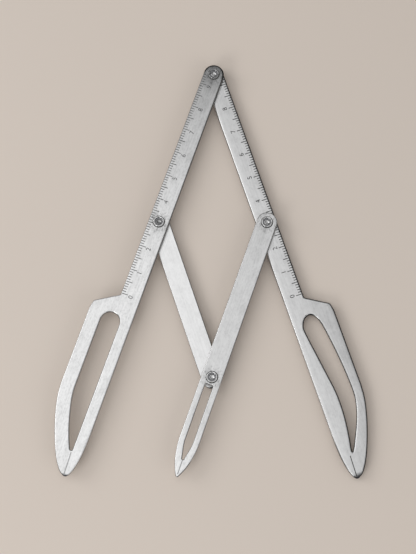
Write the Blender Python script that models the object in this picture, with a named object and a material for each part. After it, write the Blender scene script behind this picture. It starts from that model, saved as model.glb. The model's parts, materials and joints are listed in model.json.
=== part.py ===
"""Golden ratio caliper: four flat stainless steel bars on four riveted pivots.

The pivots stand at the corners of a rhombus, so the middle point always divides
the distance between the two outer points in the golden ratio.
Metres, +Z out of the front. The origin is on the apex pivot, on the plane that
the caliper lies on, and +Y runs from the points towards the apex.
"""
import math

import bmesh
import bpy

MM = 0.001

# Linkage
GOLDEN_RATIO = (1 + math.sqrt(5)) / 2
PIVOT_SPACING = 64 * MM
ARM_REACH = PIVOT_SPACING * GOLDEN_RATIO ** 2
LEG_REACH = ARM_REACH - PIVOT_SPACING
OPENING = math.radians(38.1)

# Bar stock
BAR_WIDTH = 8 * MM
BAR_THICKNESS = 1.5 * MM
EDGE_ROUND = 0.45 * MM
EDGE_ROUND_STEPS = 1

# Arm blades, measured back from the point and out from the bar's centre line
BLADE_LENGTH = 71.4 * MM
LEFT_BLADE_LENGTH = 71.75 * MM
LEFT_BLADE_OUT = 13.55 * MM
RIGHT_BLADE_OUT = 13.25 * MM
SHOULDER_SLOPE = math.radians(58.8)
KNEE_DEPTH = 0.6 * MM
KNEE_RUN = 2.9 * MM
KNEE_ROUND = 1.3 * MM
CREST_ROUND = 12 * MM
SHOULDER_FILLET = 0.7 * MM
BELLY_LENGTH = 33 * MM
INNER_POINT_LENGTH = 17.5 * MM
POINT_ROUND = 1.4 * MM
BELLY_SHARES = ((0, 1), (0.16, 0.967), (0.34, 0.866), (0.525, 0.72), (0.7, 0.55),
                (0.84, 0.383), (0.935, 0.23), (0.97, 0.145))
INNER_POINT_SHARES = ((0.93, 0.4), (0.82, 0.6), (0.66, 0.765), (0.46, 0.9), (0.24, 0.968), (0, 1))

# Left blade's window: straight inside, its outside follows the blade's belly
WINDOW_TOP = 7.15 * MM
LEFT_WINDOW_END = 9.9 * MM
LEFT_WINDOW_INNER_RIM = 4.45 * MM
LEFT_WINDOW_OUTER_RIM = 5.6 * MM
LEFT_WINDOW_SHARES = ((0, 1), (0.14, 0.963), (0.36, 0.82), (0.62, 0.59), (0.8, 0.39), (0.92, 0.235))
WINDOW_END_ROUND = 0.6 * MM

# Right blade's window: a slanted leaf
RIGHT_WINDOW_END = 9 * MM
RIGHT_WINDOW_INNER_RIM = 4 * MM
RIGHT_WINDOW_OUTER_RIM = 3.9 * MM
RIGHT_WINDOW_OUTER_SHARES = ((0, 0.36), (0.012, 0.53), (0.064, 0.7), (0.175, 0.808), (0.34, 0.918),
                             (0.505, 0.984), (0.61, 0.988), (0.675, 0.94), (0.78, 0.75),
                             (0.89, 0.455), (0.965, 0.23))
RIGHT_WINDOW_INNER_SHARES = ((0.975, 0.14), (0.89, 0.228), (0.78, 0.322), (0.67, 0.366),
                             (0.56, 0.352), (0.45, 0.27), (0.285, 0.137), (0.12, 0.006),
                             (0.064, 0.004), (0.015, 0.16))

# Middle leg: a slotted prong with a symmetric point
PRONG_POINT_LENGTH = 15 * MM
PRONG_POINT_ROUND = 0.6 * MM
PRONG_POINT_SHARES = ((0, 1), (0.12, 0.984), (0.28, 0.935), (0.45, 0.83), (0.6, 0.71), (0.74, 0.545),
                      (0.86, 0.36), (0.94, 0.21))
SLOT_WIDTH = 3.15 * MM
SLOT_START = 2.9 * MM
SLOT_END = 6.8 * MM
SLOT_TAPER = 7 * MM
SLOT_CORNER = 0.5 * MM
SLOT_END_ROUND = 0.45 * MM
SLOT_TAPER_SHARES = ((0, 1), (0.2, 0.91), (0.48, 0.68), (0.76, 0.42))

# Pivots: a hollow post rolled over at the front, and a pin pressed into it from the back
SEAT_GAP = 0.2 * MM
RUNNING_GAP = 0.1 * MM
POST_RADIUS = 1.8 * MM
POST_FLANGE_RADIUS = 2.45 * MM
POST_FLANGE_HEIGHT = 0.6 * MM
POST_MOUTH_RADIUS = 1.6 * MM
POST_MOUTH_DEPTH = 0.8 * MM
PIN_RADIUS = 1.1 * MM
PIN_DOME_HEIGHT = 0.45 * MM
PIN_DOME_DEPTH = 0.55 * MM
PIN_HEAD_RADIUS = 2.8 * MM
PIN_HEAD_HEIGHT = 0.9 * MM
PIN_HEAD_ROUND = 0.3 * MM
SPACER_RADIUS = 3.4 * MM
SPACER_THICKNESS = 0.3 * MM
SPRING_WASHER_INSET = 0.2 * MM
SPRING_WASHER_THICKNESS = 0.3 * MM
SPRING_WASHER_RISE = 0.25 * MM

# Finishes: colour and roughness
BRUSHED_STEEL = ((0.66, 0.66, 0.66), 0.34)
ROLLED_STEEL = ((0.7, 0.7, 0.7), 0.2)
PIN_STEEL = ((0.6, 0.6, 0.6), 0.22)
WASHER_STEEL = ((0.55, 0.55, 0.55), 0.3)
SPRING_STEEL = ((0.4, 0.4, 0.42), 0.35)

# Facets
END_STEPS = 14
CORNER_STEPS = 5
POINT_STEPS = 4
CURVE_STEPS = 3
TURNED_STEPS = 24

HALF_WIDTH = BAR_WIDTH / 2
BORE_RADIUS = POST_RADIUS + RUNNING_GAP

# Layers, from the plane that the caliper lies on
HEAD_TOP = PIN_HEAD_HEIGHT
SPRING_WASHER_BOTTOM = HEAD_TOP + SEAT_GAP
SPRING_WASHER_TOP = SPRING_WASHER_BOTTOM + SPRING_WASHER_THICKNESS + SPRING_WASHER_RISE
LOWER_BAR_BOTTOM = SPRING_WASHER_TOP + SEAT_GAP
LOWER_BAR_TOP = LOWER_BAR_BOTTOM + BAR_THICKNESS
SPACER_BOTTOM = LOWER_BAR_TOP + SEAT_GAP
SPACER_TOP = SPACER_BOTTOM + SPACER_THICKNESS
UPPER_BAR_BOTTOM = SPACER_TOP + SEAT_GAP
UPPER_BAR_TOP = UPPER_BAR_BOTTOM + BAR_THICKNESS
FLANGE_BOTTOM = UPPER_BAR_TOP + SEAT_GAP
FLANGE_TOP = FLANGE_BOTTOM + POST_FLANGE_HEIGHT


def arc(centre, radius, start, end, steps):
    """Points along an arc, from one angle to another."""
    angles = [start + (end - start) * step / steps for step in range(steps + 1)]
    return [(centre[0] + radius * math.cos(angle), centre[1] + radius * math.sin(angle))
            for angle in angles]


def circle(centre, radius, steps=TURNED_STEPS):
    return arc(centre, radius, 0, 2 * math.pi, steps)[:-1]


def rounded(before, corner, after, radius, steps=CORNER_STEPS):
    """The arc that rounds one corner of an outline."""
    towards = [math.atan2(end[1] - corner[1], end[0] - corner[0]) for end in (before, after)]
    turn = (towards[1] - towards[0] + math.pi) % (2 * math.pi) - math.pi
    middle = towards[0] + turn / 2
    distance = radius / math.sin(abs(turn) / 2)
    centre = (corner[0] + distance * math.cos(middle), corner[1] + distance * math.sin(middle))
    side = math.copysign(math.pi / 2, turn)
    sweep = math.copysign(math.pi, turn) - turn
    return arc(centre, radius, towards[0] - side, towards[0] - side - sweep, steps)


def smooth(points, steps=CURVE_STEPS):
    """A Catmull-Rom curve through the points, which it keeps."""
    curve = []
    last = len(points) - 1
    for index in range(last):
        p0, p1 = points[max(index - 1, 0)], points[index]
        p2, p3 = points[index + 1], points[min(index + 2, last)]
        for step in range(steps):
            t = step / steps
            curve.append(tuple(
                (2 * b + (c - a) * t + (2 * a - 5 * b + 4 * c - d) * t ** 2
                 + (3 * b - a - 3 * c + d) * t ** 3) / 2
                for a, b, c, d in zip(p0, p1, p2, p3)))
    return curve + [points[-1]]


def spread(shares, start, length, inner, outer):
    """Places along and across a bar, from shares of a length and of a width."""
    return [(start + along * length, inner + across * (outer - inner)) for along, across in shares]


def bar_end(along=0):
    """The round end of a bar, about its first pivot."""
    return arc((along, 0), HALF_WIDTH, -math.pi / 2, -math.pi * 3 / 2, END_STEPS)


def blade_outline(length, out):
    """An arm from its round end to its point. The blade stands out on the +Y side.

    The shoulder climbs to a sharp knee and runs on gently to the blade's full width.
    """
    shoulder = ARM_REACH - length
    bend = shoulder + (out - KNEE_DEPTH - HALF_WIDTH) / math.tan(SHOULDER_SLOPE)
    belly_start = ARM_REACH - BELLY_LENGTH
    foot, knee, crest = (shoulder, HALF_WIDTH), (bend, out - KNEE_DEPTH), (bend + KNEE_RUN, out)
    outline = bar_end()
    outline += rounded((0, HALF_WIDTH), foot, knee, SHOULDER_FILLET)
    outline += rounded(foot, knee, crest, KNEE_ROUND)
    outline += rounded(knee, crest, (belly_start, out), CREST_ROUND, POINT_STEPS)
    tip_centre = (ARM_REACH - POINT_ROUND, 0)
    tip = arc(tip_centre, POINT_ROUND, math.radians(50), math.radians(-62), POINT_STEPS)
    belly = spread(BELLY_SHARES, belly_start, BELLY_LENGTH, 0, out)
    outline += smooth(belly + tip[:1])[:-1]
    outline += tip
    inner = spread(INNER_POINT_SHARES, ARM_REACH - INNER_POINT_LENGTH, INNER_POINT_LENGTH, 0, -HALF_WIDTH)
    outline += smooth(tip[-1:] + inner)[1:]
    return outline


def left_window():
    inner = LEFT_WINDOW_INNER_RIM - HALF_WIDTH
    outer = LEFT_BLADE_OUT - LEFT_WINDOW_OUTER_RIM
    radius = (outer - inner) / 2
    top = ARM_REACH - BLADE_LENGTH + WINDOW_TOP + radius
    belly_start = ARM_REACH - BELLY_LENGTH
    end = ARM_REACH - LEFT_WINDOW_END
    outline = arc((top, inner + radius), radius, -math.pi / 2, -math.pi * 3 / 2, END_STEPS)
    tip = arc((end - WINDOW_END_ROUND, inner + WINDOW_END_ROUND), WINDOW_END_ROUND,
              math.radians(48), -math.pi / 2, POINT_STEPS)
    outline += smooth(spread(LEFT_WINDOW_SHARES, belly_start, end - belly_start, inner, outer) + tip[:1])[:-1]
    return outline + tip


def right_window():
    inner = RIGHT_WINDOW_INNER_RIM - HALF_WIDTH
    outer = RIGHT_BLADE_OUT - RIGHT_WINDOW_OUTER_RIM
    top = ARM_REACH - BLADE_LENGTH + WINDOW_TOP
    length = ARM_REACH - RIGHT_WINDOW_END - top
    shares = RIGHT_WINDOW_OUTER_SHARES + RIGHT_WINDOW_INNER_SHARES + RIGHT_WINDOW_OUTER_SHARES[:1]
    return smooth(spread(shares, top, length, inner, outer))[:-1]


def prong_outline():
    outline = bar_end()
    start = LEG_REACH - PRONG_POINT_LENGTH
    tip_centre = (LEG_REACH - PRONG_POINT_ROUND, 0)
    tip = arc(tip_centre, PRONG_POINT_ROUND, math.radians(52), math.radians(-52), POINT_STEPS)
    side = spread(PRONG_POINT_SHARES, start, PRONG_POINT_LENGTH, 0, HALF_WIDTH)
    upper = smooth(side + tip[:1])[:-1]
    outline += upper + tip
    outline += [(along, -across) for along, across in reversed(upper)]
    return outline


def prong_slot():
    half = SLOT_WIDTH / 2
    start = PIVOT_SPACING + SLOT_START
    end = LEG_REACH - SLOT_END
    taper = end - SLOT_TAPER
    corners = ((start, -half), (start, half))
    outline = rounded((taper, -half), corners[0], corners[1], SLOT_CORNER, POINT_STEPS)
    outline += rounded(corners[0], corners[1], (taper, half), SLOT_CORNER, POINT_STEPS)
    tip = arc((end - SLOT_END_ROUND, 0), SLOT_END_ROUND, math.radians(65), math.radians(-65), POINT_STEPS)
    side = spread(SLOT_TAPER_SHARES, taper, SLOT_TAPER, 0, half)
    upper = smooth(side + tip[:1], 2)[:-1]
    outline += upper + tip
    outline += [(along, -across) for along, across in reversed(upper)]
    return outline


def steel(name, colour, roughness):
    material = bpy.data.materials.new(name)
    material.use_nodes = True
    shader = material.node_tree.nodes["Principled BSDF"]
    shader.inputs["Base Color"].default_value = (*colour, 1)
    shader.inputs["Roughness"].default_value = roughness
    shader.inputs["Metallic"].default_value = 1
    return material


def place(thing, parent, location, turn=0):
    bpy.context.collection.objects.link(thing)
    thing.parent = parent
    thing.location = location
    thing.rotation_euler = (0, 0, turn)
    return thing


def plate(name, loops, side, material):
    """A flat bar with rounded rims: the first loop is its outline, the others are holes."""
    curve = bpy.data.curves.new(name, "CURVE")
    curve.dimensions = "2D"
    curve.fill_mode = "BOTH"
    curve.extrude = BAR_THICKNESS / 2 - EDGE_ROUND
    curve.bevel_depth = EDGE_ROUND
    curve.bevel_resolution = EDGE_ROUND_STEPS
    curve.offset = -EDGE_ROUND
    for loop in loops:
        spline = curve.splines.new("POLY")
        spline.points.add(len(loop) - 1)
        for point, (along, across) in zip(spline.points, loop):
            point.co = (along, side * across, 0, 1)
        spline.use_cyclic_u = True
    curve.materials.append(material)
    return bpy.data.objects.new(name, curve)


def turned(name, profile, material):
    """A piece turned about Z from a closed profile of radius and height."""
    mesh = bpy.data.meshes.new(name)
    shape = bmesh.new()
    corners = [shape.verts.new((radius, 0, height)) for radius, height in profile]
    edges = [shape.edges.new((corner, corners[index - 1])) for index, corner in enumerate(corners)]
    bmesh.ops.spin(shape, geom=corners + edges, cent=(0, 0, 0), axis=(0, 0, 1),
                   angle=2 * math.pi, steps=TURNED_STEPS, use_merge=True)
    bmesh.ops.remove_doubles(shape, verts=shape.verts, dist=RUNNING_GAP / 100)
    bmesh.ops.dissolve_degenerate(shape, edges=shape.edges, dist=RUNNING_GAP / 100)
    bmesh.ops.recalc_face_normals(shape, faces=shape.faces)
    shape.to_mesh(mesh)
    shape.free()
    mesh.shade_smooth()
    mesh.set_sharp_from_angle(angle=math.radians(35))
    mesh.materials.append(material)
    return bpy.data.objects.new(name, mesh)


def post_profile():
    """Hollow shank, its front end rolled over the upper bar."""
    bottom = HEAD_TOP + SEAT_GAP
    bore = PIN_RADIUS + RUNNING_GAP
    roll = POST_FLANGE_HEIGHT / 2
    lip = arc((POST_FLANGE_RADIUS - roll, FLANGE_BOTTOM + roll), roll, -math.pi / 2, math.pi / 2, 4)
    throat = FLANGE_TOP - POST_MOUTH_DEPTH
    return ([(POST_RADIUS, bottom), (POST_RADIUS, FLANGE_BOTTOM)] + lip
            + [(POST_MOUTH_RADIUS + roll / 3, FLANGE_TOP - roll / 6), (POST_MOUTH_RADIUS, FLANGE_TOP - roll),
               (POST_MOUTH_RADIUS, throat), (bore, throat), (bore, bottom)])


def pin_profile():
    """Flat round head at the back, and a domed end that shows in the post's mouth."""
    edge = arc((PIN_HEAD_RADIUS - PIN_HEAD_ROUND, PIN_HEAD_ROUND), PIN_HEAD_ROUND, -math.pi / 2, 0, 2)
    rim = PIN_HEAD_HEIGHT - PIN_HEAD_ROUND / 3
    tip = FLANGE_TOP - PIN_DOME_DEPTH
    base = tip - PIN_DOME_HEIGHT
    dome = [(PIN_RADIUS * math.cos(turn), base + PIN_DOME_HEIGHT * math.sin(turn))
            for turn in (0, math.pi / 6, math.pi / 3)]
    return [(0, 0)] + edge + [(PIN_HEAD_RADIUS, rim), (PIN_HEAD_RADIUS - PIN_HEAD_ROUND / 3, HEAD_TOP),
                              (PIN_RADIUS, HEAD_TOP)] + dome + [(0, tip)]


def spacer_profile():
    inner = POST_RADIUS + RUNNING_GAP
    return [(inner, SPACER_BOTTOM), (SPACER_RADIUS, SPACER_BOTTOM), (SPACER_RADIUS, SPACER_TOP),
            (inner, SPACER_TOP)]


def spring_washer_profile():
    """A shallow cone: its rim bears on the pin's head and its hole's edge on the lower bar."""
    inner = POST_RADIUS + RUNNING_GAP
    outer = PIN_HEAD_RADIUS - SPRING_WASHER_INSET
    low = SPRING_WASHER_BOTTOM
    return [(inner, low + SPRING_WASHER_RISE), (outer, low),
            (outer, low + SPRING_WASHER_THICKNESS), (inner, SPRING_WASHER_TOP)]


def pivot(name, axis):
    """The four pieces of one pivot, on its axis."""
    pieces = (("post", post_profile(), ROLLED_STEEL), ("pin", pin_profile(), PIN_STEEL),
              ("spacer", spacer_profile(), WASHER_STEEL),
              ("spring_washer", spring_washer_profile(), SPRING_STEEL))
    for piece, profile, finish in pieces:
        node = f"{name}_{piece}"
        material = steel(node, *finish)
        place(turned(node, profile, material), axis, (0, 0, 0))


def axis_empty(name, parent, location, turn=0):
    return place(bpy.data.objects.new(name, None), parent, location, turn)


for thing in list(bpy.data.objects):
    bpy.data.objects.remove(thing, do_unlink=True)

upper = UPPER_BAR_BOTTOM + BAR_THICKNESS / 2
lower = LOWER_BAR_BOTTOM + BAR_THICKNESS / 2
first_bore = circle((0, 0), BORE_RADIUS)
second_bore = circle((PIVOT_SPACING, 0), BORE_RADIUS)
down = -math.pi / 2

# Left arm, with the apex and left pivots. The linkage's axes hang from it as empties.
apex_axis = axis_empty("apex_axis", None, (0, 0, 0), down - OPENING / 2)
left_outline = blade_outline(LEFT_BLADE_LENGTH, LEFT_BLADE_OUT)
left_arm = plate("left_arm", [left_outline, first_bore, second_bore, left_window()], -1,
                 steel("left_arm", *BRUSHED_STEEL))
place(left_arm, apex_axis, (0, 0, upper))
pivot("apex", apex_axis)
left_axis = axis_empty("left_axis", apex_axis, (PIVOT_SPACING, 0, 0))
pivot("left", left_axis)

# Short link, from the left pivot to the lower pivot, parallel to the right arm
link_outline = bar_end() + arc((PIVOT_SPACING, 0), HALF_WIDTH, math.pi / 2, -math.pi / 2, END_STEPS)
link_axis = axis_empty("link_axis", left_axis, (0, 0, 0), OPENING)
short_link = plate("short_link", [link_outline, first_bore, second_bore], 1,
                   steel("short_link", *BRUSHED_STEEL))
place(short_link, link_axis, (0, 0, lower))

# Right arm, with the right pivot
right_arm_axis = axis_empty("right_arm_axis", apex_axis, (0, 0, 0), OPENING)
right_outline = blade_outline(BLADE_LENGTH, RIGHT_BLADE_OUT)
right_arm = plate("right_arm", [right_outline, first_bore, second_bore, right_window()], 1,
                  steel("right_arm", *BRUSHED_STEEL))
place(right_arm, right_arm_axis, (0, 0, lower))
right_axis = axis_empty("right_axis", right_arm_axis, (PIVOT_SPACING, 0, 0), -OPENING)
pivot("right", right_axis)

# Middle leg, from the right pivot through the lower pivot, parallel to the left arm
middle_leg = plate("middle_leg", [prong_outline(), first_bore, second_bore, prong_slot()], 1,
                   steel("middle_leg", *BRUSHED_STEEL))
place(middle_leg, right_axis, (0, 0, upper))
lower_axis = axis_empty("lower_axis", right_axis, (PIVOT_SPACING, 0, 0))
pivot("lower", lower_axis)
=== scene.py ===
"""Golden ratio caliper: the looks of four brushed steel bars on four rolled rivets.

Metres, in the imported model's frame: +Y runs towards the apex and +Z out of the front.
"""

import json
import math

import bpy
from mathutils import Matrix, Vector


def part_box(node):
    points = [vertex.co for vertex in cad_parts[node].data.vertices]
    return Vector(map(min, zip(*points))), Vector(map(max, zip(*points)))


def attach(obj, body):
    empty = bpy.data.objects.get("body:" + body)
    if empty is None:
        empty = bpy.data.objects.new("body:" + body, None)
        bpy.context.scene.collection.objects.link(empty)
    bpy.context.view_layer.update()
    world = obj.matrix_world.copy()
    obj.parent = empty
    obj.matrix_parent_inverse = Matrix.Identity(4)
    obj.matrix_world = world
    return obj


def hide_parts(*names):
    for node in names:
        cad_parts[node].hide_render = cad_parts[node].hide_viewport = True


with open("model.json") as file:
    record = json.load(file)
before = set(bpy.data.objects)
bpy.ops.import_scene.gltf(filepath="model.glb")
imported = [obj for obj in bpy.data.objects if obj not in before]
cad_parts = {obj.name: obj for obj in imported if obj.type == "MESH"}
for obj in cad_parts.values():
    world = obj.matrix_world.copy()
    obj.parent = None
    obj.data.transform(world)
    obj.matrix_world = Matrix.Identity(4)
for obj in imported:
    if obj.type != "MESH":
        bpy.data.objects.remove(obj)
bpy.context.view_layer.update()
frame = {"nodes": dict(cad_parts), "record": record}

# Pivot pins. Each is turned from stainless rod with a flat round head, which the caliper lies
# on, and is pressed up into its hollow post, where its cupped end shows from the front.
MM = 0.001
ROUND_SIDES = 64
ROUND_STEPS = 6
FINE_ROUND_STEPS = 4
SHARP_ANGLE = math.radians(40)
WELD = 0.001 * MM
PIN_RADIUS = 1.1 * MM
PIN_HEAD_RADIUS = 2.8 * MM
PIN_HEAD_HEIGHT = 0.9 * MM
PIN_HEAD_ROUND = 0.3 * MM
PIN_NECK_ROUND = 0.12 * MM
PIN_END_ROUND = 0.22 * MM
PIN_CUP_RADIUS = 0.95 * MM
PIN_CUP_DEPTH = 0.3 * MM
PIN_CUP_SHARES = (0.92, 0.8, 0.66, 0.5, 0.34, 0.18, 0.06)
PIN_DIMPLE_RADIUS = 0.5 * MM
PIN_DIMPLE_DEPTH = 0.12 * MM
PIN_DIMPLE_SHARES = ((0.125, 1), (0.8, 0.7), (1, 0))
# The pins' greys differ by pivot as painted light: each pin end is made brighter or duller to give it a
# stronger or weaker highlight.
PIN_DARK = {"apex": 0.12, "left": 0.26, "right": 0.17, "lower": 0.42}
PIN_POLISH_AND_HIGHLIGHT = {"apex": 1, "left": 0.38, "right": 0.95, "lower": 0.72}
PIN_ROUGHNESS = 0.16
LATHE_MARK = 0.09 * MM
LATHE_MARK_DEPTH = 0.012 * MM
LATHE_MARK_SHARE = 0.35
SMUDGE = 0.9 * MM
SMUDGE_EDGES = (0.3, 0.7)
SMUDGE_ROUGHNESS = 0.16
ENDLESS = 1000

pivots = {mount["name"].split("_")[0]: Vector(mount["pos_m"]) for mount in frame["record"]["mounts"]}
carrier = {node: body for body, nodes in frame["record"]["behaviour"]["bodies"].items() for node in nodes}


class Wire:
    """One socket of a material's nodes: sums and products of wires add Math nodes."""

    def __init__(self, tree, socket):
        self.tree = tree
        self.socket = socket

    def feed(self, node, inputs):
        for name, value in inputs.items():
            if isinstance(value, Wire):
                self.tree.links.new(value.socket, node.inputs[name])
            else:
                node.inputs[name].default_value = value

    def node(self, kind, settings, inputs, output=0):
        """Adds a node: its settings first, then the values or wires of its sockets."""
        node = self.tree.nodes.new(kind)
        for name, value in settings.items():
            setattr(node, name, value)
        self.feed(node, inputs)
        return Wire(self.tree, node.outputs[output])

    def maths(self, operation, *values):
        return self.node("ShaderNodeMath", {"operation": operation}, dict(enumerate(values)))

    def __add__(self, other):
        return self.maths("ADD", self, other)

    def __radd__(self, other):
        return self.maths("ADD", other, self)

    def __sub__(self, other):
        return self.maths("SUBTRACT", self, other)

    def __rsub__(self, other):
        return self.maths("SUBTRACT", other, self)

    def __mul__(self, other):
        return self.maths("MULTIPLY", self, other)

    def __rmul__(self, other):
        return self.maths("MULTIPLY", other, self)

    def size(self):
        return self.maths("ABSOLUTE", self)

    def fade(self, start, end):
        """Goes smoothly from 0 to 1 as the wire goes from start to end."""
        return self.node("ShaderNodeMapRange", {"interpolation_type": "SMOOTHSTEP"}, {
            "Value": self, "From Min": start, "From Max": end, "To Min": 0, "To Max": 1})

    def blend(self, first, second):
        """Mixes two colours by this wire: a Mix node takes them at 6 and 7, and gives one at 2."""
        return self.node("ShaderNodeMix", {"data_type": "RGBA"}, {0: self, 6: first, 7: second}, 2)

    def noise(self, detail=2):
        return self.node("ShaderNodeTexNoise", {}, {"Vector": self, "Scale": 1, "Detail": detail})

    def axis(self, name):
        return self.node("ShaderNodeSeparateXYZ", {}, {"Vector": self}, name)

    def stretched(self, origin, turn, sizes):
        """The place on the piece, measured from an origin, along a turned direction, in these sizes."""
        return self.node("ShaderNodeMapping", {"vector_type": "TEXTURE"}, {
            "Vector": self, "Location": origin, "Rotation": (0, 0, turn), "Scale": sizes})

    def radius(self, pivot_axis, unit=1):
        """The distance from a pivot's axis, counted in a unit. Height adds nothing to it."""
        offset = self.stretched(pivot_axis, 0, (unit, unit, ENDLESS))
        return offset.node("ShaderNodeVectorMath", {"operation": "LENGTH"}, {0: offset}, "Value")

    def bump(self, depth):
        return self.node("ShaderNodeBump", {}, {"Height": self, "Strength": 1, "Distance": depth}, "Normal")


def surface(name, metallic=1):
    """A new finish, with wires for the place on the piece and for the direction that it faces."""
    finish = bpy.data.materials.new(name)
    finish.use_nodes = True
    tree = finish.node_tree
    tree.nodes["Principled BSDF"].inputs["Metallic"].default_value = metallic
    source = tree.nodes.new("ShaderNodeTexCoord").outputs
    return finish, Wire(tree, source["Object"]), Wire(tree, source["Normal"])


def grey(tone):
    return tone, tone, tone, 1


def coat(finish, wire, inputs):
    wire.feed(finish.node_tree.nodes["Principled BSDF"], inputs)


def turned_steel(name, axis, dark, bright, roughness):
    """Steel from the lathe: fine rings about its axis, darker where it is rubbed less."""
    metal, place, _ = surface(name)
    radius = place.radius(axis, LATHE_MARK)
    rings = radius.node("ShaderNodeTexNoise", {"noise_dimensions": "1D"}, {"W": radius, "Scale": 1})
    smudges = place.stretched(axis, 0, (SMUDGE, SMUDGE, SMUDGE)).noise(detail=3)
    rubbed = rings * LATHE_MARK_SHARE + smudges.fade(*SMUDGE_EDGES) * (1 - LATHE_MARK_SHARE)
    coat(metal, place, {
        "Base Color": rubbed.blend(dark, bright),
        "Roughness": roughness + smudges * SMUDGE_ROUGHNESS,
        "Normal": rings.bump(LATHE_MARK_DEPTH)})
    return metal


def arc(radius, height, size, start, end, steps):
    """Points of a round edge, as radius and height, from one angle in degrees to another."""
    turns = [math.radians(start + (end - start) * step / steps) for step in range(steps + 1)]
    return [(radius + size * math.cos(turn), height + size * math.sin(turn)) for turn in turns]


def turned(profile):
    """A ring drawn along a profile of radius and height about the apex pivot's axis."""
    bpy.ops.object.select_all(action="DESELECT")
    start, base = profile[0]
    bpy.ops.mesh.primitive_circle_add(vertices=ROUND_SIDES, radius=start, location=(0, 0, base))
    piece = bpy.context.object
    bpy.ops.object.mode_set(mode="EDIT")
    bpy.ops.mesh.select_all(action="SELECT")
    for (before, low), (after, high) in zip(profile, profile[1:]):
        bpy.ops.mesh.extrude_edges_move(TRANSFORM_OT_translate={"value": (0, 0, high - low)})
        share = after / before
        bpy.ops.transform.resize(value=(share, share, 1), center_override=(0, 0, high))
    bpy.ops.mesh.select_all(action="SELECT")
    bpy.ops.mesh.remove_doubles(threshold=WELD)
    bpy.ops.mesh.select_all(action="DESELECT")
    bpy.ops.mesh.select_non_manifold()
    if piece.data.total_edge_sel:
        bpy.ops.mesh.fill_holes(sides=0)
    bpy.ops.mesh.select_all(action="SELECT")
    bpy.ops.mesh.normals_make_consistent(inside=False)
    bpy.ops.object.mode_set(mode="OBJECT")
    bpy.ops.object.transform_apply(location=True, rotation=True, scale=True)
    bpy.ops.object.shade_smooth_by_angle(angle=SHARP_ANGLE)
    return piece


def copy_at(model, name, axis, finish):
    """A copy of a turned piece at another pivot, with a mesh of its own."""
    piece = bpy.data.objects.new(name, model.data.copy())
    bpy.context.collection.objects.link(piece)
    piece.data.transform(Matrix.Translation(axis))
    piece.data.materials.append(finish)
    return piece


pin_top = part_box("apex_pin")[1].z
pin_profile = [(PIN_DIMPLE_RADIUS * out, PIN_DIMPLE_DEPTH * deep) for out, deep in PIN_DIMPLE_SHARES]
pin_profile += arc(PIN_HEAD_RADIUS - PIN_HEAD_ROUND, PIN_HEAD_ROUND, PIN_HEAD_ROUND, -90, 0, ROUND_STEPS)
pin_profile += arc(PIN_HEAD_RADIUS - PIN_NECK_ROUND, PIN_HEAD_HEIGHT - PIN_NECK_ROUND,
                   PIN_NECK_ROUND, 0, 90, FINE_ROUND_STEPS)
pin_profile += [(PIN_RADIUS, PIN_HEAD_HEIGHT)]
pin_profile += arc(PIN_RADIUS - PIN_END_ROUND, pin_top - PIN_END_ROUND,
                   PIN_END_ROUND, 0, 90, FINE_ROUND_STEPS)
pin_profile += [(PIN_CUP_RADIUS * share, pin_top - PIN_CUP_DEPTH * (1 - share ** 2))
                for share in PIN_CUP_SHARES]
pin_model = turned(pin_profile)
for pivot, axis in pivots.items():
    node = f"{pivot}_pin"
    pin_steel = turned_steel(
        f"{node}_steel", axis, grey(PIN_DARK[pivot]), grey(PIN_POLISH_AND_HIGHLIGHT[pivot]), PIN_ROUGHNESS)
    pin = copy_at(pin_model, f"{node}_turned", axis, pin_steel)
    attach(pin, carrier[node])
    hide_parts(node)
bpy.data.objects.remove(pin_model)

# Spring washers. Shallow cones stamped from tempered strip, one on each pin's head under the
# lower bar, whose spring gives the friction that holds a setting.
WASHER_BORE = 1.9 * MM
SPRING_WASHER_RADIUS = 2.6 * MM
SPRING_WASHER_THICKNESS = 0.3 * MM
STAMPED_ROUND = 0.06 * MM
SPRING_DARK = (0.16, 0.16, 0.18, 1)
SPRING_BRIGHT = (0.42, 0.41, 0.4, 1)
SPRING_ROUGHNESS = 0.3

spring_low, spring_high = (corner.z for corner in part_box("apex_spring_washer"))
spring_profile = [
    (SPRING_WASHER_RADIUS - STAMPED_ROUND, spring_low),
    (SPRING_WASHER_RADIUS, spring_low + STAMPED_ROUND),
    (SPRING_WASHER_RADIUS, spring_low + SPRING_WASHER_THICKNESS - STAMPED_ROUND),
    (SPRING_WASHER_RADIUS - STAMPED_ROUND, spring_low + SPRING_WASHER_THICKNESS),
    (WASHER_BORE, spring_high),
    (WASHER_BORE, spring_high - SPRING_WASHER_THICKNESS),
    (SPRING_WASHER_RADIUS - STAMPED_ROUND, spring_low)]
washer_model = turned(spring_profile)
for pivot, axis in pivots.items():
    node = f"{pivot}_spring_washer"
    spring_steel = turned_steel(f"{node}_steel", axis, SPRING_DARK, SPRING_BRIGHT, SPRING_ROUGHNESS)
    washer = copy_at(washer_model, f"{node}_stamped", axis, spring_steel)
    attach(washer, carrier[node])
    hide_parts(node)
bpy.data.objects.remove(washer_model)

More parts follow.
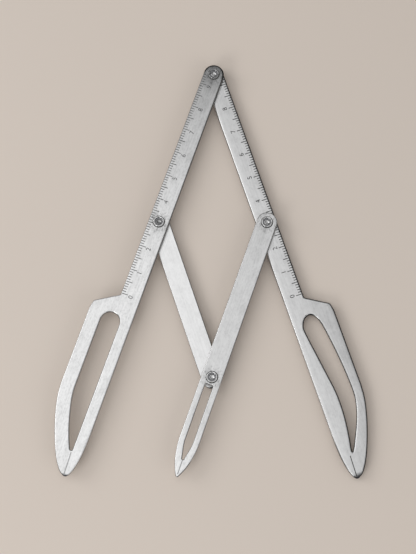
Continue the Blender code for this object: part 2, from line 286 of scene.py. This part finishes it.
# Lower bars: the right arm and the short link. Both are cut from 1.5 mm stainless sheet,
# tumbled until their rims are round, and brushed lengthwise to a satin grey.
RIGHT_ARM_RIM = 0.7 * MM
LINK_RIM = 0.36 * MM
RIM_STEPS = 5
LARGE_FACE_WEIGHT = 100
GRAIN = 0.08 * MM
GRAIN_RUN = 7 * MM
GRAIN_MIDDLE = 0.35
GRAIN_HAZE = 0.12
STREAK = 0.4 * MM
STREAK_RUN = 18 * MM
STREAK_EDGES = (0.42, 0.66)
STREAK_HAZE = 0.08
CLOUD = 2.2 * MM
CLOUD_RUN = 3.3 * MM
CLOUD_EDGES = (0.4, 0.68)
CLOUD_HAZE = 0.07
CLOUD_RUBBED_HAZE = 0.2
SPECK = 0.6 * MM
SPECK_RUN = 0.96 * MM
SPECK_EDGES = (0.46, 0.68)
SPECK_HAZE = 0.12
SPECK_RUBBED_HAZE = 0.25
RUBBED_RADII = (5.2 * MM, 3.12 * MM)
HAZE_AND_SHADE_SHARE = 0.44
# Shadows and rims across a bar, in millimetres from its middle towards the caliper's right
SHADED_SIDE = (-4, 12.8)
SHADED_EDGE = (11.52, 13.44)
SHADED_EDGE_SHARE = 2.5
BRIGHT_SIDE = (-2.4, -3.04)
OUTER_LEFT = (-3.04, -2.24)
# How level a face lies, from 0 for upright to 1, and how far one looks left, down to -1
FLAT = (0.82, 0.985)
ROUNDED = (0.2, 0.62)
FACES_LEFT = (-0.4, -0.1)
SATIN = (0.86, 0.99)
RIM_ROUGHNESS = 0.13
SATIN_ROUGHNESS = 0.09
STREAK_ROUGHNESS = 0.12
CLOUD_ROUGHNESS = 0.1
GRAIN_SHARE = 0.6
GRAIN_DEPTH = 0.006 * MM
# Greys painted as light and shade: the rims of the blade's window, upright walls nearly black, the black
# end and the black points; and one bright tone for rims that face left, a painted highlight.
WINDOW_RIM = grey(0.38)
UPRIGHT_SHADE = grey(0.02)
EDGE_BLACK = grey(0.003)
POINT_SHADE = (0.05, 0.05, 0.055, 1)
DARK_END_SHARES = (0.02, -0.01)
EVEN_LEFT_RIM_HIGHLIGHT = ((0, 0.65),)
# The right arm as painted light: its tones along it, its right-facing rims nearly black as shade, its
# left-facing rims bright as highlight along the blade, its point black as shade and its right side darker
# as shade.
RIGHT_ARM_FINISH = {
    "tones": ((0, 0.63), (1.4, 0.65), (1.9, 0.65), (2.2, 0.68)),
    "rims": ((0, 0.003), (1.4, 0.015)),
    "left_rims": ((1.3, 0.52), (1.7, 0.97), (2.3, 0.97), (2.45, 0.3)),
    "mottling": 1, "shaded_point": (2.58, 2.61), "side_shade": 0.2}
# The link's tones are painted light, and its round end beyond the lower pivot, in the shade under the leg,
# is painted nearly black as shade, rims too.
LINK_FINISH = {
    "tones": ((0, 0.76), (1, 0.74), (1.042, 0.74), (1.052, 0.1)),
    "rims": ((0, 0.2), (1, 0.2), (1.05, 0.03)),
    "left_rims": EVEN_LEFT_RIM_HIGHLIGHT, "mottling": 0.8}


def bar(name, rim, metal):
    """The bar's section at mid height, given its thickness again with a finer round rim."""
    low, high = (corner.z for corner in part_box(name))
    middle = (low + high) / 2
    piece = bpy.data.objects.new(f"{name}_bar", frame["nodes"][name].data.copy())
    bpy.context.collection.objects.link(piece)
    bpy.ops.object.select_all(action="DESELECT")
    piece.select_set(True)
    bpy.context.view_layer.objects.active = piece
    bpy.ops.object.mode_set(mode="EDIT")
    bpy.ops.mesh.select_all(action="SELECT")
    bpy.ops.mesh.remove_doubles(threshold=WELD)
    bpy.ops.mesh.bisect(plane_co=(0, 0, middle), plane_no=(0, 0, 1), clear_inner=True, clear_outer=True)
    bpy.ops.object.mode_set(mode="OBJECT")
    piece.data.transform(Matrix.Translation((0, 0, -middle)))
    bpy.ops.object.convert(target="CURVE")
    outline = bpy.context.object.data
    outline.dimensions = "2D"
    outline.fill_mode = "BOTH"
    outline.extrude = (high - low) / 2 - rim
    outline.bevel_depth = rim
    outline.bevel_resolution = RIM_STEPS
    outline.offset = -rim
    bpy.ops.object.convert(target="MESH")
    piece = bpy.context.object
    piece.data.transform(Matrix.Translation((0, 0, middle)))
    bpy.ops.object.mode_set(mode="EDIT")
    bpy.ops.mesh.select_all(action="SELECT")
    bpy.ops.mesh.remove_doubles(threshold=WELD)
    bpy.ops.mesh.normals_make_consistent(inside=False)
    bpy.ops.object.mode_set(mode="OBJECT")
    bpy.ops.object.shade_smooth()
    weighted = piece.modifiers.new("even_normals", "WEIGHTED_NORMAL")
    weighted.weight = LARGE_FACE_WEIGHT
    bpy.ops.object.modifier_apply(modifier=weighted.name)
    piece.data.materials.clear()
    piece.data.materials.append(metal)
    return piece


def toned(share, tones):
    """A grey that follows the share of the way along a bar through its tones."""
    colour = grey(tones[0][1])
    for (start, _), (end, tone) in zip(tones, tones[1:]):
        colour = share.fade(start, end).blend(colour, grey(tone))
    return colour


def brushed_steel(name, first_pivot, second_pivot, tones, rims, left_rims, mottling,
                  shaded_point=None, side_shade=0, dark_end=None):
    """Satin steel with its grain along a bar, hazy where handling and the pivots rubbed it.

    Shares of the way from pivot to pivot place the face's tones, painted light and shade along
    it, those of its rims and left rims, painted shade where rims face right and painted highlight
    where they face left, and the shaded point, painted black as shade. Side shade paints the
    bar's right side darker as shade. A dark end is painted black as shade between two radii
    about the first pivot.
    """
    metal, place, facing = surface(name)
    run = second_pivot - first_pivot
    turn = math.atan2(run.y, run.x)

    def along_bar(length, width):
        return place.stretched(first_pivot, turn, (length, width, width))

    grain = along_bar(GRAIN_RUN, GRAIN).noise()
    streaks = along_bar(STREAK_RUN, STREAK).noise(detail=3)
    clouds = along_bar(CLOUD_RUN, CLOUD).noise(detail=5)
    specks = along_bar(SPECK_RUN, SPECK).noise(detail=3)
    rubbed = place.radius(first_pivot).fade(*RUBBED_RADII) + place.radius(second_pivot).fade(*RUBBED_RADII)
    haze_and_shade = (clouds.fade(*CLOUD_EDGES) * (CLOUD_HAZE + rubbed * CLOUD_RUBBED_HAZE)
            + specks.fade(*SPECK_EDGES) * (SPECK_HAZE + rubbed * SPECK_RUBBED_HAZE)
            + streaks.fade(*STREAK_EDGES) * STREAK_HAZE
            + (grain - GRAIN_MIDDLE) * GRAIN_HAZE) * mottling
    share = along_bar(run.length, run.length).axis("X")
    across = along_bar(MM, MM).axis("Y")
    # Painted shade darkens the face towards the bar's right side and along the blade's outer edge, and a
    # painted highlight lightens it by its left edge; the haze then carries both.
    if side_shade:
        right_shade = across.fade(*SHADED_SIDE) + across.fade(*SHADED_EDGE) * SHADED_EDGE_SHARE
        haze_and_shade = haze_and_shade + (right_shade - across.fade(*BRIGHT_SIDE)) * side_shade
    hazy_and_shaded_tones = [(along, tone * HAZE_AND_SHADE_SHARE) for along, tone in tones]
    face = haze_and_shade.blend(toned(share, tones), toned(share, hazy_and_shaded_tones))

    flatness = facing.axis("Z").size()
    # Painted light on the rims: those facing left take bright tones as painted highlight, dimmer round the
    # blade's window, those facing right take dark tones as painted shade, and upright walls go nearly black
    # as painted shade.
    left_rim = across.fade(*OUTER_LEFT).blend(toned(share, left_rims), WINDOW_RIM)
    rim = facing.axis("X").fade(*FACES_LEFT).blend(left_rim, toned(share, rims))
    steel = flatness.fade(*FLAT).blend(flatness.fade(*ROUNDED).blend(UPRIGHT_SHADE, rim), face)
    # The point is painted black as shade.
    if shaded_point:
        steel = share.fade(*shaded_point).blend(steel, POINT_SHADE)
    # The end round the first pivot is painted black as shade.
    if dark_end:
        end = place.radius(first_pivot).fade(*dark_end) * share.fade(*DARK_END_SHARES)
        steel = end.blend(steel, EDGE_BLACK)
    satin = RIM_ROUGHNESS + flatness.fade(*SATIN) * SATIN_ROUGHNESS
    coat(metal, place, {
        "Base Color": steel,
        "Roughness": satin + streaks * STREAK_ROUGHNESS + clouds * CLOUD_ROUGHNESS,
        "Normal": (grain * GRAIN_SHARE + streaks * (1 - GRAIN_SHARE)).bump(GRAIN_DEPTH)})
    return metal


right_arm_steel = brushed_steel("right_arm_steel", pivots["apex"], pivots["right"], **RIGHT_ARM_FINISH)
right_arm = bar("right_arm", RIGHT_ARM_RIM, right_arm_steel)
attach(right_arm, "right_arm")
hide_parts("right_arm")

link_steel = brushed_steel("link_steel", pivots["left"], pivots["lower"], **LINK_FINISH)
short_link = bar("short_link", LINK_RIM, link_steel)
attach(short_link, "short_link")
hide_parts("short_link")

# Spacers. Thin flat washers stamped from hard sheet, one in each pivot between the bars, so
# that the brushed faces don't grind on each other.
SPACER_RADIUS = 3.4 * MM
SPACER_DARK = (0.34, 0.34, 0.35, 1)
SPACER_BRIGHT = (0.66, 0.66, 0.65, 1)
SPACER_ROUGHNESS = 0.25

spacer_low, spacer_high = (corner.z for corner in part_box("apex_spacer"))
spacer_profile = [
    (WASHER_BORE, spacer_low),
    (SPACER_RADIUS - STAMPED_ROUND, spacer_low),
    (SPACER_RADIUS, spacer_low + STAMPED_ROUND),
    (SPACER_RADIUS, spacer_high - STAMPED_ROUND),
    (SPACER_RADIUS - STAMPED_ROUND, spacer_high),
    (WASHER_BORE, spacer_high),
    (WASHER_BORE, spacer_low)]
spacer_model = turned(spacer_profile)
for pivot, axis in pivots.items():
    node = f"{pivot}_spacer"
    spacer_steel = turned_steel(f"{node}_steel", axis, SPACER_DARK, SPACER_BRIGHT, SPACER_ROUGHNESS)
    spacer = copy_at(spacer_model, f"{node}_stamped", axis, spacer_steel)
    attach(spacer, carrier[node])
    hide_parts(node)
bpy.data.objects.remove(spacer_model)

# Upper bars: the left arm and the middle leg, of the same brushed sheet. The left arm is
# painted darker near the apex and black round its end there as shade, and the middle leg's broad face is
# bare.
LEFT_ARM_RIM = 0.5 * MM
LEG_RIM = 0.38 * MM
# The left arm's tones are painted light and shade, darkest towards the apex; its rims there are painted
# nearly black as shade, and its point and end black as shade.
LEFT_ARM_FINISH = {
    "tones": ((-0.1, 0.13), (0.05, 0.37), (0.14, 0.485), (0.4, 0.575), (0.9, 0.68), (1.3, 0.74),
              (1.7, 0.745), (2.2, 0.75)),
    "rims": ((-0.05, 0.02), (0.1, 0.26), (1, 0.36), (1.6, 0.7)),
    "left_rims": EVEN_LEFT_RIM_HIGHLIGHT,
    "mottling": 1.7, "shaded_point": (2.597, 2.615), "dark_end": (3.35 * MM, 3.5 * MM)}
# The leg's tones are painted light; its rims are painted bright as highlight at the top of its slot and
# dark as shade near its point.
LEG_FINISH = {
    "tones": ((-0.2, 0.58), (0.5, 0.62), (1.2, 0.65), (1.7, 0.8)),
    "rims": ((0, 0.4), (0.95, 0.45), (1.03, 0.95), (1.2, 0.5), (1.5, 0.5), (1.53, 0.12)),
    "left_rims": EVEN_LEFT_RIM_HIGHLIGHT, "mottling": 1.35}

left_arm_steel = brushed_steel("left_arm_steel", pivots["apex"], pivots["left"], **LEFT_ARM_FINISH)
left_arm = bar("left_arm", LEFT_ARM_RIM, left_arm_steel)
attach(left_arm, "left_arm")
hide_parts("left_arm")

leg_steel = brushed_steel("leg_steel", pivots["right"], pivots["lower"], **LEG_FINISH)
middle_leg = bar("middle_leg", LEG_RIM, leg_steel)
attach(middle_leg, "middle_leg")
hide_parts("middle_leg")

# Posts. Hollow stainless rivets through each pivot's two bars. The front end is rolled over
# into a round ring and staked in four places; a dark ring in the seam round it is painted shade.
POST_RADIUS = 1.8 * MM
POST_BORE = 1.2 * MM
RING_RADIUS = 2.1 * MM
RING_MOUTH = 1.56 * MM
RING_ROLL = 0.27 * MM
RING_STEPS = 12
MOUTH_DEPTH = 0.8 * MM
THROAT_ROUND = 0.15 * MM
STAKES = 4
STAKE_DEPTH = 0.1 * MM
STAKE_REACH = 0.45 * MM
# The posts' greys differ by pivot as painted light: darkest at the apex, as painted shade.
POST_POLISH_AND_SHADE = {"apex": 0.36, "left": 0.78, "right": 0.7, "lower": 0.68}
POST_DULLED = 0.6
POST_ROUGHNESS = 0.34
SHINE_DEPTHS = (0.75 * MM, 0.2 * MM)
SHINE_SMOOTHNESS = 0.16
HAMMER_MARK = 0.35 * MM
HAMMER_MARK_EDGES = (0.3, 0.65)
HAMMER_MARK_DEPTH = 0.02 * MM
HAMMER_MARK_ROUGHNESS = 0.1
# Painted shade down in the post's mouth.
THROAT_DARK = (0.3, 0.3, 0.31, 1)
# A dark ring laid in the seam round each post is painted shade, blotched black and grey.
SEAM_INNER = 1.9 * MM
SEAM_OUTER = 2.4 * MM
SEAM_PROUD = 0.02 * MM
SEAM_METALLIC = 0.5
SEAM_BLACK = grey(0.07)
SEAM_GREY = grey(0.24)
SEAM_ROUGHNESS = 0.5
SHADE_BLOTCH = 0.4 * MM
SHADE_BLOTCH_EDGES = (0.35, 0.7)
SHADE_BLOTCH_ROUGHNESS = 0.3


def rolled_steel(name, axis, front, polish_and_shade):
    """Rolled steel, painted darker down in the post's mouth as shade, and rougher there."""
    metal, place, _ = surface(name)
    hammered = place.stretched(axis, 0, (HAMMER_MARK, HAMMER_MARK, HAMMER_MARK)).noise()
    out_of_mouth = place.axis("Z").fade(*(front - depth for depth in SHINE_DEPTHS))
    ring = hammered.fade(*HAMMER_MARK_EDGES).blend(grey(polish_and_shade * POST_DULLED), grey(polish_and_shade))
    coat(metal, place, {
        "Base Color": out_of_mouth.blend(THROAT_DARK, ring),
        "Roughness": POST_ROUGHNESS - out_of_mouth * SHINE_SMOOTHNESS + hammered * HAMMER_MARK_ROUGHNESS,
        "Normal": hammered.bump(HAMMER_MARK_DEPTH)})
    return metal


# Painted shade for the seam round a post: a dark ring, blotched black and grey.
def seam_black(name, axis):
    black, place, _ = surface(name, SEAM_METALLIC)
    shade_blotches = place.stretched(axis, 0, (SHADE_BLOTCH, SHADE_BLOTCH, SHADE_BLOTCH)).noise(detail=3)
    coat(black, place, {
        "Base Color": shade_blotches.fade(*SHADE_BLOTCH_EDGES).blend(SEAM_BLACK, SEAM_GREY),
        "Roughness": SEAM_ROUGHNESS + shade_blotches * SHADE_BLOTCH_ROUGHNESS})
    return black


post_low, post_high = (corner.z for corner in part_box("apex_post"))
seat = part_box("left_arm")[1].z
ring_middle = post_high - RING_ROLL
post_profile = [(POST_BORE, post_low), (POST_RADIUS, post_low)]
post_profile += [(POST_RADIUS, ring_middle - RING_ROLL)]
post_profile += arc(RING_RADIUS - RING_ROLL, ring_middle, RING_ROLL, -90, 90, RING_STEPS)
post_profile += arc(RING_MOUTH + RING_ROLL, ring_middle, RING_ROLL, 90, 180, RING_STEPS // 2)
post_profile += [(RING_MOUTH, post_high - MOUTH_DEPTH + THROAT_ROUND),
                 (RING_MOUTH - THROAT_ROUND, post_high - MOUTH_DEPTH),
                 (POST_BORE, post_high - MOUTH_DEPTH), (POST_BORE, post_low)]
post_model = turned(post_profile)
crest = (RING_RADIUS + RING_MOUTH) / 2
bpy.ops.object.mode_set(mode="EDIT")
for stake in range(STAKES):
    bearing = math.tau * stake / STAKES
    mark = Vector((crest * math.cos(bearing), crest * math.sin(bearing), post_high))
    bpy.ops.mesh.select_all(action="DESELECT")
    bpy.ops.object.mode_set(mode="OBJECT")
    nearest = min(post_model.data.vertices, key=lambda point: (point.co - mark).length)
    nearest.select = True
    bpy.ops.object.mode_set(mode="EDIT")
    bpy.ops.transform.translate(
        value=(0, 0, -STAKE_DEPTH), use_proportional_edit=True, proportional_size=STAKE_REACH)
bpy.ops.object.mode_set(mode="OBJECT")

seam_model = turned([(SEAM_INNER, seat - SEAM_PROUD), (SEAM_INNER, seat + SEAM_PROUD),
                     (SEAM_OUTER - SEAM_PROUD, seat + SEAM_PROUD), (SEAM_OUTER, seat - SEAM_PROUD),
                     (SEAM_INNER, seat - SEAM_PROUD)])
for pivot, axis in pivots.items():
    node = f"{pivot}_post"
    post_steel = rolled_steel(f"{node}_steel", axis, post_high, POST_POLISH_AND_SHADE[pivot])
    post = copy_at(post_model, f"{node}_rolled", axis, post_steel)
    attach(post, carrier[node])
    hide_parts(node)
    seam = copy_at(seam_model, f"{pivot}_seam", axis, seam_black(f"{pivot}_seam_black", axis))
    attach(seam, "middle_leg" if pivot in ("right", "lower") else "left_arm")
bpy.data.objects.remove(post_model)
bpy.data.objects.remove(seam_model)

# Scales. Both arms are laser-marked along their outer edges in millimetres, from zero near the
# blade towards the apex, with a longer mark every 5 mm and a plain numeral every centimetre.
SCALE_ZERO = {"left": 95.2 * MM, "right": 94.6 * MM}
MARK_SPACING = 1 * MM
MARK_WIDTH = 0.29 * MM
SHORT_MARK = 1.55 * MM
SHORT_MARK_CUTS = 9
LONG_MARK = 2.7 * MM
LONG_MARK_CUTS = 13
MARKS_BETWEEN = 4
LONG_MARKS = 19
MARKS_PER_FIGURE = 10
MARK_INSET = 0.05 * MM
MARK_PROUD = 0.012 * MM
MARK_DEPTH = 0.04 * MM
DROP_HEIGHTS = 3
BAR_HALF_WIDTH = 4 * MM
NUMERAL_SIZE = 2.6 * MM
NUMERAL_STEPS = 4
NUMERAL_SHIFT = {"left": 0.45 * MM, "right": -0.25 * MM}
NUMERAL_ASIDE = {"left": 0.05 * MM, "right": 0.25 * MM}
FIGURES = 10
FIGURE_IN_BORE = 3
MARK_TONES = {"left": (0.09, 0.26), "right": (0.015, 0.09)}
MARK_ROUGHNESS = 0.55
BURN = 0.5 * MM
BURN_EDGES = (0.3, 0.7)
BURN_ROUGHNESS = 0.25


def laser_black(name, dark, faded):
    """Oxide left by the laser: matt dark grey, uneven where the beam was weaker."""
    black, place, _ = surface(name)
    burn = place.stretched((0, 0, 0), 0, (BURN, BURN, BURN)).noise(detail=3)
    coat(black, place, {
        "Base Color": burn.fade(*BURN_EDGES).blend(grey(dark), grey(faded)),
        "Roughness": MARK_ROUGHNESS + burn * BURN_ROUGHNESS})
    return black


def strip(length, width, cuts):
    """A flat strip along Y, cut crosswise so that it can follow a round rim."""
    bpy.ops.object.select_all(action="DESELECT")
    bpy.ops.mesh.primitive_grid_add(x_subdivisions=1, y_subdivisions=cuts, size=1)
    piece = bpy.context.object
    piece.data.transform(Matrix.Diagonal((width, length, 1, 1)))
    return piece


def repeat(piece, count, spacing):
    row = piece.modifiers.new("row", "ARRAY")
    row.count = count
    row.use_relative_offset = False
    row.use_constant_offset = True
    row.constant_offset_displace = (spacing, 0, 0)
    bpy.ops.object.modifier_apply(modifier=row.name)


def lay_on(piece, carrier_bar, finish):
    """Lays flat marks on a bar's front, over its rim too, and gives them their depth.

    They drop from well above the caliper, and what finds no bar under it is deleted.
    """
    above = DROP_HEIGHTS * post_high
    piece.data.transform(Matrix.Translation((0, 0, above)))
    drop = piece.modifiers.new("drop", "SHRINKWRAP")
    drop.target = carrier_bar
    drop.wrap_method = "PROJECT"
    drop.use_project_z = True
    drop.use_negative_direction = True
    drop.use_positive_direction = False
    bpy.ops.object.modifier_apply(modifier=drop.name)
    bpy.ops.object.mode_set(mode="EDIT")
    bpy.ops.mesh.select_all(action="DESELECT")
    bpy.ops.object.mode_set(mode="OBJECT")
    for point in piece.data.vertices:
        point.select = point.co.z > above / 2
    bpy.ops.object.mode_set(mode="EDIT")
    bpy.ops.mesh.delete(type="VERT")
    bpy.ops.object.mode_set(mode="OBJECT")
    piece.data.transform(Matrix.Translation((0, 0, MARK_PROUD)))
    depth = piece.modifiers.new("depth", "SOLIDIFY")
    depth.thickness = MARK_DEPTH
    depth.offset = -1
    bpy.ops.object.modifier_apply(modifier=depth.name)
    piece.data.materials.clear()
    piece.data.materials.append(finish)


def bar_place(top, lower, along, across):
    """The matrix of a place on a bar: X runs up to its top pivot and Y to the caliper's left."""
    run = (pivots[top] - pivots[lower]).normalized()
    left = Vector((-run.y, run.x, 0))
    where = pivots[top] - run * along + left * across
    return Matrix((
        (run.x, left.x, 0, where.x),
        (run.y, left.y, 0, where.y),
        (0, 0, 1, 0),
        (0, 0, 0, 1)))


def numeral(figure, place):
    """A numeral made flat at a place, upright along the place's Y."""
    bpy.ops.object.select_all(action="DESELECT")
    bpy.ops.object.text_add()
    letters = bpy.context.object.data
    letters.body = str(figure)
    letters.align_x = "CENTER"
    letters.align_y = "CENTER"
    letters.size = NUMERAL_SIZE
    letters.resolution_u = NUMERAL_STEPS
    bpy.ops.object.convert(target="MESH")
    piece = bpy.context.object
    low, high = (Vector(corner) for corner in (piece.bound_box[0], piece.bound_box[6]))
    piece.data.transform(place @ Matrix.Translation(-(low + high) / 2))
    return piece


for arm, arm_bar in (("right", right_arm), ("left", left_arm)):
    laser_steel = laser_black(f"{arm}_laser_black", *MARK_TONES[arm])
    side = 1 if arm == "left" else -1
    edge = BAR_HALF_WIDTH - MARK_INSET
    long_spacing = MARK_SPACING * (MARKS_BETWEEN + 1)
    short_marks = strip(SHORT_MARK, MARK_WIDTH, SHORT_MARK_CUTS)
    repeat(short_marks, MARKS_BETWEEN, MARK_SPACING)
    repeat(short_marks, LONG_MARKS, long_spacing)
    first_short = SCALE_ZERO[arm] - MARK_SPACING
    short_marks.data.transform(bar_place("apex", arm, first_short, side * (edge - SHORT_MARK / 2)))
    marks = strip(LONG_MARK, MARK_WIDTH, LONG_MARK_CUTS)
    repeat(marks, LONG_MARKS, long_spacing)
    marks.data.transform(bar_place("apex", arm, SCALE_ZERO[arm], side * (edge - LONG_MARK / 2)))
    short_marks.select_set(True)
    bpy.ops.object.join()
    marks.name = f"{arm}_scale_marks"
    lay_on(marks, arm_bar, laser_steel)
    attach(marks, f"{arm}_arm")
    numerals = []
    for figure in range(FIGURES):
        if figure != FIGURE_IN_BORE:
            along = SCALE_ZERO[arm] - figure * MARKS_PER_FIGURE * MARK_SPACING + NUMERAL_SHIFT[arm]
            numerals.append(numeral(figure, bar_place("apex", arm, along, NUMERAL_ASIDE[arm])))
    for piece in numerals:
        piece.select_set(True)
    bpy.ops.object.join()
    figures = bpy.context.object
    figures.name = f"{arm}_scale_numerals"
    lay_on(figures, arm_bar, laser_steel)
    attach(figures, f"{arm}_arm")

# Sight lines. A fine line engraved down to each of the three points and filled with black
# shows exactly where the point stands on the work.
SIGHT_WIDTH = 0.34 * MM
SIGHT_CUTS = 24
LEFT_SIGHT = ((158.3 * MM, 0.6 * MM), (167.2 * MM, 0.2 * MM))
RIGHT_SIGHT = ((158.7 * MM, 0.02 * MM), (167.2 * MM, 0.32 * MM))
LEG_SIGHT = ((96.8 * MM, 0), (102.5 * MM, 0))
SIGHT_TONES = {
    "left_sight_line": (0.4, 0.5),
    "right_sight_line": (0.01, 0.2),
    "middle_sight_line": (0.36, 0.5)}


def sight_line(name, body, bar_piece, pivot_pair, ends):
    """An engraved line between two places on a bar, each given along and across it."""
    start, end = (bar_place(*pivot_pair, *spot).translation for spot in ends)
    line = strip((end - start).length, SIGHT_WIDTH, SIGHT_CUTS)
    line.name = name
    heading = math.atan2(end.y - start.y, end.x - start.x) - math.radians(90)
    line.data.transform(Matrix.Translation((start + end) / 2) @ Matrix.Rotation(heading, 4, "Z"))
    lay_on(line, bar_piece, laser_black(f"{name}_black", *SIGHT_TONES[name]))
    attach(line, body)


sight_line("left_sight_line", "left_arm", left_arm, ("apex", "left"), LEFT_SIGHT)
sight_line("right_sight_line", "right_arm", right_arm, ("apex", "right"), RIGHT_SIGHT)
sight_line("middle_sight_line", "middle_leg", middle_leg, ("right", "lower"), LEG_SIGHT)

# Floor, light and camera, which aren't part of the caliper. Each light is given as its name,
# place, target, width, height and brightness.
FLOOR_HALF = 6
FLOOR_PATCH = 0.2
FLOOR_COLOUR = (0.74, 0.65, 0.575, 1)
FLOOR_SHADE = (0.715, 0.635, 0.565, 1)
FLOOR_ROUGHNESS = 0.85
CALIPER_MIDDLE = (0, -0.08, 0)
SOFTBOXES = (
    ("overhead", (-0.325, -0.075, 0.95), (-0.325, -0.075, 0), 1.05, 1.05, 0.95),
    ("left_back", (-0.9, 0.14, 0.6), CALIPER_MIDDLE, 0.7, 0.5, 2.6),
    ("left_front", (-0.6, -0.75, 0.55), CALIPER_MIDDLE, 0.45, 0.35, 4.5),
    ("right_front", (0.7, -0.75, 0.6), CALIPER_MIDDLE, 0.9, 0.6, 0.9))
ROOM_LIGHT = 0.3
CAMERA_PLACE = (1.54 * MM, -202.04 * MM, 527.83 * MM)
CAMERA_TURNS = (12.91, 0.35, 0.3)
CAMERA_LENS = 90.97
CAMERA_NEAREST = 0.01

bpy.ops.object.select_all(action="DESELECT")
bpy.ops.mesh.primitive_plane_add(size=2 * FLOOR_HALF, location=(0, 0, 0))
floor = bpy.context.object
floor.name = "floor"
paint, place, _ = surface("pale_floor", 0)
patches = place.stretched((0, 0, 0), 0, (FLOOR_PATCH, FLOOR_PATCH, FLOOR_PATCH)).noise(detail=3)
coat(paint, place, {
    "Base Color": patches.blend(FLOOR_COLOUR, FLOOR_SHADE),
    "Roughness": FLOOR_ROUGHNESS})
floor.data.materials.append(paint)


def softbox(name, place, target, width, height, brightness):
    """A rectangular light whose face has the same brightness whatever its size."""
    light = bpy.data.objects.new(name, bpy.data.lights.new(name, "AREA"))
    bpy.context.collection.objects.link(light)
    light.data.shape = "RECTANGLE"
    light.data.size = width
    light.data.size_y = height
    light.data.energy = brightness * math.pi * width * height
    light.location = place
    light.rotation_euler = (Vector(target) - Vector(place)).to_track_quat("-Z", "Y").to_euler()


for box in SOFTBOXES:
    softbox(*box)
world = bpy.data.worlds.new("studio")
world.use_nodes = True
world.node_tree.nodes["Background"].inputs["Color"].default_value = grey(1)
world.node_tree.nodes["Background"].inputs["Strength"].default_value = ROOM_LIGHT
bpy.context.scene.world = world
bpy.context.scene.view_settings.view_transform = "Standard"

camera = bpy.data.objects.new("camera", bpy.data.cameras.new("camera"))
bpy.context.collection.objects.link(camera)
camera.location = CAMERA_PLACE
camera.rotation_mode = "ZYX"
camera.rotation_euler = [math.radians(turn) for turn in CAMERA_TURNS]
camera.data.lens = CAMERA_LENS
camera.data.clip_start = CAMERA_NEAREST
bpy.context.scene.camera = camera
